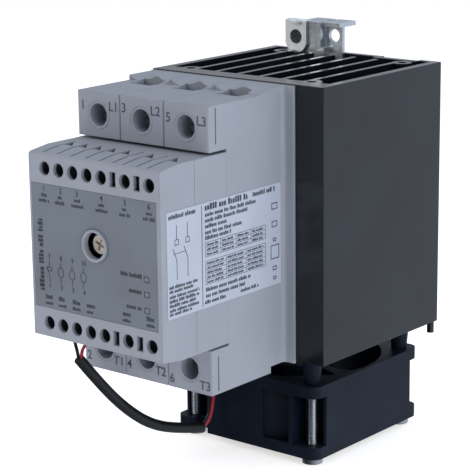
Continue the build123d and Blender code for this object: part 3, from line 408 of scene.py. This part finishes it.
def printed_film(name, dark, light, gloss, metal=0.0):
    """A pebbled label film."""
    finish, tree, shader, place = start_finish(name)
    pebble = add_node(tree, "ShaderNodeTexNoise", {"Scale": per_mm(0.3), "Detail": 2.0}, {"Vector": place})
    sheen = add_node(tree, "ShaderNodeTexNoise", {"Scale": per_mm(18), "Detail": 1.0}, {"Vector": place})
    tree.links.new(shade_between(tree, value_between(tree, sheen.outputs["Fac"], 0.0, 1.0), dark, light),
                   shader.inputs["Base Color"])
    tree.links.new(value_between(tree, pebble.outputs["Fac"], gloss - 0.04, gloss + 0.06),
                   shader.inputs["Roughness"])
    bump = add_node(tree, "ShaderNodeBump", {"Strength": 0.4, "Distance": 0.006 * MM},
                    {"Height": pebble.outputs["Fac"]})
    tree.links.new(bump.outputs["Normal"], shader.inputs["Normal"])
    shader.inputs["Metallic"].default_value = metal
    return finish


def lacquered_board(name):
    """Green laminate with tracks under the lacquer."""
    finish, tree, shader, place = start_finish(name)
    upright_board = {"Rotation": (math.pi / 2, 0.0, 0.0)}
    turned_place = add_node(tree, "ShaderNodeMapping", upright_board, {"Vector": place})
    lacquer = {"Color1": linear("1F5A3A"), "Color2": linear("235F3E"), "Mortar": linear("4C8A62")}
    tracks = add_node(tree, "ShaderNodeTexBrick", {"Scale": per_mm(9), "Mortar Size": 0.03, **lacquer},
                      {"Vector": turned_place.outputs["Vector"]})
    tree.links.new(tracks.outputs["Color"], shader.inputs["Base Color"])
    shader.inputs["Roughness"].default_value = 0.35
    bump = add_node(tree, "ShaderNodeBump", {"Strength": 0.5, "Distance": 0.03 * MM},
                    {"Height": tracks.outputs["Fac"]})
    tree.links.new(bump.outputs["Normal"], shader.inputs["Normal"])
    return finish


front_film = printed_film("polyester_film_grey", "666D76", "6C747D", 0.5)
side_foil = printed_film("metallised_foil_pale", "A3ABBA", "A9B1C0", 0.42)
ink_dark = printed_film("printing_ink_dark", "2A313B", "333A44", 0.6)
board_green = lacquered_board("glass_fibre_laminate_green")
print("films:", front_film.name, side_foil.name)

# %% [markdown]
# The cable has three coverings: black shrink sleeve with a dull, faintly wrinkled face, and
# shiny PVC on the two wires. The small lamps are clear light guides. The ceramic plates and
# wound parts are inside the case, and show only when it is taken apart.

# %% Cable coverings and the parts inside


def soft_covering(name, dark, light, gloss, wrinkle_mm, wrinkle_depth):
    """A flexible covering with fine wrinkles."""
    finish, tree, shader, place = start_finish(name)
    wrinkle_size = {"Scale": per_mm(wrinkle_mm), "Detail": 3.0}
    wrinkle = add_node(tree, "ShaderNodeTexNoise", wrinkle_size, {"Vector": place})
    tree.links.new(shade_between(tree, value_between(tree, wrinkle.outputs["Fac"], 0.0, 1.0), dark, light),
                   shader.inputs["Base Color"])
    tree.links.new(value_between(tree, wrinkle.outputs["Fac"], gloss - 0.05, gloss + 0.1),
                   shader.inputs["Roughness"])
    bump = add_node(tree, "ShaderNodeBump", {"Strength": 0.5, "Distance": wrinkle_depth * MM},
                    {"Height": wrinkle.outputs["Fac"]})
    tree.links.new(bump.outputs["Normal"], shader.inputs["Normal"])
    return finish


sleeve_black = soft_covering("shrink_sleeve_black", "07090C", "0C0F13", 0.45, 1.5, 0.06)
wire_black = soft_covering("pvc_insulation_black", "0E1013", "15181C", 0.3, 0.8, 0.02)
wire_red = soft_covering("pvc_insulation_red", "7E1526", "931B2E", 0.3, 0.8, 0.02)
ceramic_white = soft_covering("alumina_ceramic_white", "DAD9D2", "E4E3DD", 0.45, 0.5, 0.01)
coil_tape = soft_covering("polyester_tape_yellow", "B8963A", "C7A648", 0.35, 2.0, 0.05)
can_sleeve = soft_covering("pvc_can_sleeve_dark", "1E222B", "272C37", 0.3, 3.0, 0.01)
varistor_coat = soft_covering("dipped_epoxy_blue", "264C86", "2D5896", 0.35, 1.0, 0.05)

lamp_clear, lamp_tree, lamp_shader, lamp_place = start_finish("polycarbonate_light_guide")
haze = add_node(lamp_tree, "ShaderNodeTexNoise", {"Scale": per_mm(0.8)}, {"Vector": lamp_place})
lamp_tree.links.new(value_between(lamp_tree, haze.outputs["Fac"], 0.25, 0.4), lamp_shader.inputs["Roughness"])
lamp_shader.inputs["Base Color"].default_value = linear("8F96A0")
lamp_shader.inputs["IOR"].default_value = 1.58
lamp_shader.inputs["Transmission Weight"].default_value = 0.35

floor_finish = start_finish("studio_floor_pale")[0]
floor_shader = floor_finish.node_tree.nodes["Principled BSDF"]
floor_shader.inputs["Base Color"].default_value = linear("F6F7F9")
floor_shader.inputs["Roughness"].default_value = 0.7
floor_shader.inputs["Emission Color"].default_value = linear("FFFDFA")
floor_shader.inputs["Emission Strength"].default_value = 0.6
floor.data.materials.append(floor_finish)

# %% [markdown]
# Each solid takes its finish by name. The table lists finishes, each with the solids that
# wear it, so that a missing solid is caught at once.

# %% Give the solids their finishes
POLES = (1, 2, 3)
ROWS = ("line", "load")
pole_parts = [f"{row}_{part}_{pole}" for row in ROWS for part in ("clamp", "screw") for pole in POLES]
small_steel = ["bracket_screws", "control_terminal_screws", "control_terminal_sleeves", "fan_screws",
               "fan_shaft", "fan_bearings"]
wearers = [
    (housing_grey, ["pole_housing_left", "pole_housing_middle", "pole_housing_right", "control_case",
                    "control_cover", "potentiometer_body"]),
    (front_film, ["front_label"]),
    (side_foil, ["side_label"]),
    (sink_black, ["heatsink", "rail_hook", "latch_guide"]),
    (fan_black, ["fan_frame", "fan_rotor", "fan_spacers"]),
    (strip_dark, ["control_terminal_strips"]),
    (zinc_bright, ["mounting_bracket", "rail_latch", "latch_spring", "housing_screws"]),
    (zinc_clamp, ["earth_clamp"]),
    (screw_steel, pole_parts + small_steel),
    (steel_dark, ["earth_screw", "locating_pins", "fan_stator"]),
    (copper_tinned, ["power_busbars"]),
    (ceramic_white, ["ceramic_plates"]),
    (epoxy_black, ["thyristor_modules", "gate_optocouplers", "microcontroller", "board_connector"]),
    (relay_blue, ["auxiliary_relays"]),
    (dial_cream, ["potentiometer_dial"]),
    (board_green, ["control_board", "driver_board"]),
    (coil_tape, ["supply_transformer"]),
    (can_sleeve, ["capacitors"]),
    (varistor_coat, ["varistors"]),
    (lamp_clear, ["light_pipes", "indicator_leds"]),
    (ferrite, ["rotor_magnet"]),
    (sleeve_black, ["fan_cable_sleeve"]),
    (wire_black, ["fan_lead_black"]),
    (wire_red, ["fan_lead_red"]),
]
dressed = set()
for finish, names in wearers:
    for name in names:
        nodes[name].data.materials.clear()
        nodes[name].data.materials.append(finish)
        dressed.add(name)
print("solids without a finish:", sorted(set(nodes) - dressed))

# %% [markdown]
# The two labels carry printing, and the towers carry raised terminal numbers. Both are thin
# closed slabs that stand a few hundredths of a millimetre proud of the face. A slab is
# drawn flat, in millimetres from the housing's lower left corner, and a matrix then presses
# it on to its face. Words are rows of small bars, which read as print at this size.

# %% Helpers for printing
ink_height = 0.04
ink_root = 0.02
capital_share = 0.72  # of the type size, the height of a capital
left_edge, face_front, floor_of_housing = -34.0, -42.5, 33.6


def face_matrix(origin, right, up):
    """A matrix that takes flat drawings in metres to a face, with Z pointing out of it."""
    right, up = Vector(right), Vector(up)
    turn = Matrix((right, up, right.cross(up))).transposed().to_4x4()
    return Matrix.Translation(Vector(origin) * MM) @ turn


def slab(drawing, corners):
    """Add a closed slab over an anticlockwise outline in millimetres."""
    low = [drawing.verts.new((x * MM, y * MM, -ink_root * MM)) for x, y in corners]
    high = [drawing.verts.new((x * MM, y * MM, ink_height * MM)) for x, y in corners]
    drawing.faces.new(high)
    drawing.faces.new(low[::-1])
    for here, low_corner in enumerate(low):
        after = (here + 1) % len(corners)
        drawing.faces.new((low_corner, low[after], high[after], high[here]))


def bar(drawing, left, bottom, right, top):
    """Add a printed rectangle."""
    slab(drawing, [(left, bottom), (right, bottom), (right, top), (left, top)])


def frame_of(drawing, left, bottom, right, top, line=0.22):
    """Add the outline of a rectangle as four bars that don't overlap."""
    bar(drawing, left, bottom, right, bottom + line)
    bar(drawing, left, top - line, right, top)
    bar(drawing, left, bottom + line, left + line, top - line)
    bar(drawing, right - line, bottom + line, right, top - line)


def stroke(drawing, start, end, line=0.22):
    """Add a straight printed line."""
    way = (Vector(end) - Vector(start)).normalized() * line / 2
    side = Vector((-way.y, way.x))
    start, end = Vector(start), Vector(end)
    slab(drawing, [start - side, end - side, end + side, start + side])


def words(drawing, left, right, middle, tall, upright=False):
    """Add a row, or a column, of small letter-like bars with word gaps between two limits."""
    at = left
    while at < right - tall * 0.6:
        word_end = at + tall * print_dice.uniform(1.5, 4.5)
        while at < min(word_end, right - tall * 0.3):
            end = at + tall * print_dice.uniform(0.3, 0.55)
            top = middle + tall * print_dice.choice((0.2, 0.2, 0.45))
            base = middle - tall * 0.5
            if upright:
                bar(drawing, 2 * middle - top, at, 2 * middle - base, end)
            else:
                bar(drawing, at, base, end, top)
            at = end + tall * 0.14
        at += tall * 0.4


def letters(drawing, text, middle, base, tall):
    """Add numbers or capitals of a plain typeface as closed slabs, centred on a point."""
    curve = bpy.data.curves.new("letters", "FONT")
    curve.body = text
    curve.align_x = "CENTER"
    curve.size = tall * MM / capital_share
    curve.extrude = ink_height * MM
    curve.offset = tall * MM * 0.02
    curve.resolution_u = 3
    sheet = bpy.data.objects.new("letters", curve)
    scene.collection.objects.link(sheet)
    bpy.context.view_layer.update()
    flat = bpy.data.meshes.new_from_object(sheet.evaluated_get(bpy.context.evaluated_depsgraph_get()))
    closed = bmesh.new()
    closed.from_mesh(flat)
    bmesh.ops.remove_doubles(closed, verts=closed.verts, dist=0.001 * MM)
    bmesh.ops.translate(closed, verts=closed.verts, vec=Vector((middle, base, 0)) * MM)
    closed.to_mesh(flat)
    closed.free()
    drawing.from_mesh(flat)
    bpy.data.objects.remove(sheet)
    bpy.data.curves.remove(curve)
    bpy.data.meshes.remove(flat)


def press_on(drawing, name, finish, place):
    """Turn a drawing into a piece on its face that moves with the housing."""
    drawing.transform(place)
    data = bpy.data.meshes.new(name)
    drawing.to_mesh(data)
    drawing.free()
    data.materials.append(finish)
    piece = bpy.data.objects.new(name, data)
    scene.collection.objects.link(piece)
    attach(piece, "chassis")
    print(name, "faces:", len(data.polygons))


print_dice = random.Random(7)

# %% [markdown]
# The front label has a row of terminal numbers along its top, each over a short code and a
# word, a small wiring sketch with its numbers on the left, three lamp windows with a word
# beside each, and two more rows of marks along the bottom.

# %% Front label printing
front_film_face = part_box("front_label")[0].y / MM
front_place = face_matrix((left_edge, front_film_face, floor_of_housing), (1, 0, 0), (0, 0, 1))
front_print = bmesh.new()
for number, x in enumerate((6.2, 13.3, 20.2, 30.3, 40.0, 49.5), 1):
    letters(front_print, str(number), x, 62.9, 1.8)
    words(front_print, x - 1.2, x + 1.2, 61.7, 1.1)
    words(front_print, x - 2.4, x + 2.4, 60.0, 1.2)
for x in (7.2, 12.9, 18.8, 24.8, 39.8, 49.3):
    words(front_print, x - 1.7, x + 1.7, 29.3, 1.5)
    words(front_print, x - 1.8, x + 1.8, 27.2, 1.0)
words(front_print, 31.0, 55.7, 4.0, 2.2, upright=True)
for left, level in ((37.5, 41.9), (40.8, 37.1), (39.7, 32.0)):
    words(front_print, left, 45.7, level, 1.4)
for level in (41.2, 36.6, 31.6):
    frame_of(front_print, 46.9, level - 0.9, 49.1, level + 0.9, 0.2)
for number, x in enumerate((7.6, 12.6, 17.5, 22.2), 7):
    letters(front_print, str(number), x, 41.6, 1.5)
    letters(front_print, str(number - 6), x, 32.3, 1.5)
for x in (12.4, 17.2, 22.0):
    stroke(front_print, (x, 40.9), (x, 39.4))
    stroke(front_print, (x, 34.2), (x, 36.2))
    angles = [math.pi * n / 5 for n in range(11)]
    coil = [(x + 1.2 * math.cos(angle), 37.8 + 1.6 * math.sin(angle)) for angle in angles]
    for start, end in zip(coil, coil[1:]):
        stroke(front_print, start, end)
stroke(front_print, (7.5, 40.9), (7.5, 38.9))
stroke(front_print, (7.5, 34.2), (7.5, 36.6))
stroke(front_print, (7.4, 36.6), (6.1, 38.8))
frame_of(front_print, 6.6, 37.6, 8.6, 38.9)
press_on(front_print, "front_label_print", ink_dark, front_place)

# %% [markdown]
# The side label is a rating plate: a wiring sketch over a block of text on its left, and
# titles, lines, two tables and a column of small symbols on its right. All of it is generic.

# %% Side label printing
side_foil_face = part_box("side_label")[1].x / MM
side_place = face_matrix((side_foil_face, face_front, floor_of_housing), (0, 1, 0), (0, 0, 1))
side_print = bmesh.new()
bar(side_print, -4.05, 29.8, -3.8, 61.3)
words(side_print, -19.2, -5.2, 60.4, 1.5)
for x in (-15.6, -10.6):
    stroke(side_print, (x, 57.6), (x, 53.2))
    stroke(side_print, (x, 40.8), (x, 46.8))
    stroke(side_print, (x, 46.8), (x - 1.7, 50.6))
    frame_of(side_print, x - 0.9, 51.4, x + 0.9, 53.2)
stroke(side_print, (-17.4, 48.9), (-11.6, 48.9), 0.16)
text_block = (
    (-6.2, 38.9), (-8.0, 37.6), (-5.0, 36.0), (-5.4, 34.6), (-7.2, 33.2), (-4.9, 31.8), (-9.0, 30.6),
)
for right, level in text_block:
    words(side_print, -19.2, right, level, 1.1)
words(side_print, -2.4, 18.1, 60.5, 2.0)
words(side_print, 20.7, 32.3, 60.5, 1.6)
title_lines = (
    (22.4, 58.2), (18.3, 56.4), (8.2, 54.6), (15.0, 52.7), (10.4, 51.0), (19.2, 34.8), (17.7, 32.9),
)
for right, level in title_lines:
    words(side_print, -2.4, right, level, 1.3)
words(side_print, -2.9, 7.2, 30.9, 1.2)
words(side_print, 14.4, 23.6, 30.9, 1.2)
table_left, table_wide, table_line = -2.4, 29.4, 0.14
for bottom, top, rows, columns in ((45.1, 49.5, 3, 4), (36.4, 43.7, 5, 3)):
    row_tall = (top - bottom) / rows
    for row in range(rows + 1):
        level = bottom + row_tall * row
        stroke(side_print, (table_left, level), (table_left + table_wide, level), table_line)
    for column in range(columns + 1):
        x = table_left + table_wide * column / columns
        for row in range(rows):
            low = bottom + row_tall * row
            stroke(side_print, (x, low + 0.1), (x, low + row_tall - 0.1), table_line)
            if column < columns:
                words(side_print, x + 0.7, x + table_wide / columns - 1.2, low + row_tall / 2, 0.8)
frame_of(side_print, 29.6, 37.6, 33.9, 42.2, 0.3)
symbol_x = 31.6
for level, size in ((54.8, 1.5), (49.0, 1.4), (43.9, 0.8), (34.6, 1.0), (31.4, 0.8)):
    frame_of(side_print, symbol_x - size, level - size * 0.7, symbol_x + size, level + size * 0.7, 0.3)
press_on(side_print, "side_label_print", ink_dark, side_place)

# %% [markdown]
# Each tower has a number and a letter code by its screw. They are stamped on with dark grey
# foil, and stand proud of the moulding by a hair.

# %% Terminal numbers on the towers
foil_grey = printed_film("stamping_foil_grey", "3E454F", "484F5A", 0.5)
tower_place = face_matrix((left_edge, face_front, floor_of_housing), (1, 0, 0), (0, 0, 1))
tower_marks = bmesh.new()
for text, middle, base in (
    ("1", 2.4, 85.1), ("L1", 15.4, 85.5), ("3", 19.8, 85.7), ("L2", 32.8, 85.9), ("5", 38.0, 84.7),
    ("L3", 51.2, 84.7), ("2", 2.1, 2.5), ("T1", 15.0, 2.7), ("4", 19.6, 2.7), ("T2", 32.9, 2.7),
    ("6", 37.7, 1.5), ("T3", 51.2, 1.4),
):
    letters(tower_marks, text, middle, base, 3.0)
press_on(tower_marks, "tower_numbers", foil_grey, tower_place)

# %% [markdown]
# Some features repeat exactly: the raised rim round each screw opening, and the threads of
# the four long fan screws. A Geometry Nodes tree makes one ring and copies it along lines, so
# that its size, pitch and count stay adjustable until the result is turned into a mesh.

# %% A tree that repeats a ring


def ring_tree():
    """A node group that makes a stack of rings, with its sizes as inputs."""
    tree = bpy.data.node_groups.new("ring_stack", "GeometryNodeTree")
    face = tree.interface
    face.new_socket("Geometry", in_out="INPUT", socket_type="NodeSocketGeometry")
    for label in ("Ring Radius", "Wire Radius", "Pitch"):
        face.new_socket(label, in_out="INPUT", socket_type="NodeSocketFloat")
    face.new_socket("Count", in_out="INPUT", socket_type="NodeSocketInt")
    face.new_socket("Finish", in_out="INPUT", socket_type="NodeSocketMaterial")
    face.new_socket("Geometry", in_out="OUTPUT", socket_type="NodeSocketGeometry")
    start = add_node(tree, "NodeGroupInput").outputs
    circle = add_node(tree, "GeometryNodeCurvePrimitiveCircle", {"Resolution": 28},
                      {"Radius": start["Ring Radius"]})
    wire = add_node(tree, "GeometryNodeCurvePrimitiveCircle", {"Resolution": 6},
                    {"Radius": start["Wire Radius"]})
    ring = add_node(tree, "GeometryNodeCurveToMesh", None,
                    {"Curve": circle.outputs["Curve"], "Profile Curve": wire.outputs["Curve"]})
    step = add_node(tree, "ShaderNodeCombineXYZ", None, {"Z": start["Pitch"]})
    line = add_node(tree, "GeometryNodeMeshLine", None, {"Count": start["Count"], "Offset": step.outputs[0]})
    feet = add_node(tree, "GeometryNodeInstanceOnPoints", None,
                    {"Points": start["Geometry"], "Instance": line.outputs["Mesh"]})
    stack = add_node(tree, "GeometryNodeRealizeInstances", None, {"Geometry": feet.outputs["Instances"]})
    copies = add_node(tree, "GeometryNodeInstanceOnPoints", None,
                      {"Points": stack.outputs["Geometry"], "Instance": ring.outputs["Mesh"]})
    whole = add_node(tree, "GeometryNodeRealizeInstances", None, {"Geometry": copies.outputs["Instances"]})
    dressed_ring = add_node(tree, "GeometryNodeSetMaterial", None,
                            {"Geometry": whole.outputs["Geometry"], "Material": start["Finish"]})
    add_node(tree, "NodeGroupOutput", None, {"Geometry": dressed_ring.outputs["Geometry"]})
    return tree


ring_stack = ring_tree()
ring_inputs = [item for item in ring_stack.interface.items_tree if item.in_out == "INPUT"]
socket_of = {item.name: item.identifier for item in ring_inputs}
print("ring inputs:", sorted(socket_of))


def rings(name, feet, turn, slot_name, **values):
    """Stacks of rings on the given points in metres; turn lays the stack on its side."""
    points = bpy.data.meshes.new(name)
    points.from_pydata([turn.inverted() @ Vector(foot) for foot in feet], [], [])
    maker = bpy.data.objects.new(name, points)
    scene.collection.objects.link(maker)
    stack = maker.modifiers.new("rings", "NODES")
    stack.node_group = ring_stack
    for label, value in values.items():
        stack[socket_of[label.replace("_", " ")]] = value
    bpy.context.view_layer.update()
    made = bpy.data.meshes.new_from_object(maker.evaluated_get(bpy.context.evaluated_depsgraph_get()))
    made.transform(turn)
    closed = bmesh.new()
    closed.from_mesh(made)
    bmesh.ops.recalc_face_normals(closed, faces=closed.faces)
    closed.to_mesh(made)
    closed.free()
    made.polygons.foreach_set("use_smooth", [True] * len(made.polygons))
    maker.modifiers.clear()
    maker.data = made
    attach(maker, "chassis")
    print(name, "faces:", len(made.polygons))


# %% [markdown]
# The rims are thin rings of 9 mm diameter round the six screw openings. The threads are M3:
# rings of 0.5 mm pitch that show in the open corners of the fan's frame, where the long
# screws pass between its two flanges.

# %% Opening rims and screw threads
screw_middles = []
for row in ROWS:
    for pole in POLES:
        low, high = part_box(f"{row}_screw_{pole}")
        screw_middles.append(((low.x + high.x) / 2, face_front * MM, (low.z + high.z) / 2))
on_side = Matrix.Rotation(math.pi / 2, 4, "X")
rings("opening_rims", screw_middles, on_side, "housing_plastic", Ring_Radius=4.5 * MM, Wire_Radius=0.16 * MM,
      Pitch=0.0, Count=1, Finish=housing_grey)
low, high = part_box("fan_frame")
corner_inset = 5.0 * MM
flange_top = low.z + 4.2 * MM
screw_feet = [(x, y, flange_top) for x in (low.x + corner_inset, high.x - corner_inset)
              for y in (low.y + corner_inset, high.y - corner_inset)]
rings("fan_screw_threads", screw_feet, Matrix.Identity(4), "zinc_steel", Ring_Radius=1.45 * MM,
      Wire_Radius=0.17 * MM, Pitch=0.5 * MM, Count=62, Finish=zinc_bright)

# %% [markdown]
# The cable pieces now take their coverings and stand for their plain solids. Both ends of
# the sleeve go into the relay.

sleeve.data.materials.append(sleeve_black)
for wire in wires:
    wire.data.materials.append(wire_red if wire.name.startswith("red") else wire_black)
    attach(wire, "chassis")
    colour = wire.name.split("_")[0]
    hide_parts(f"fan_lead_{colour}")
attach(sleeve, "chassis")
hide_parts("fan_cable_sleeve")
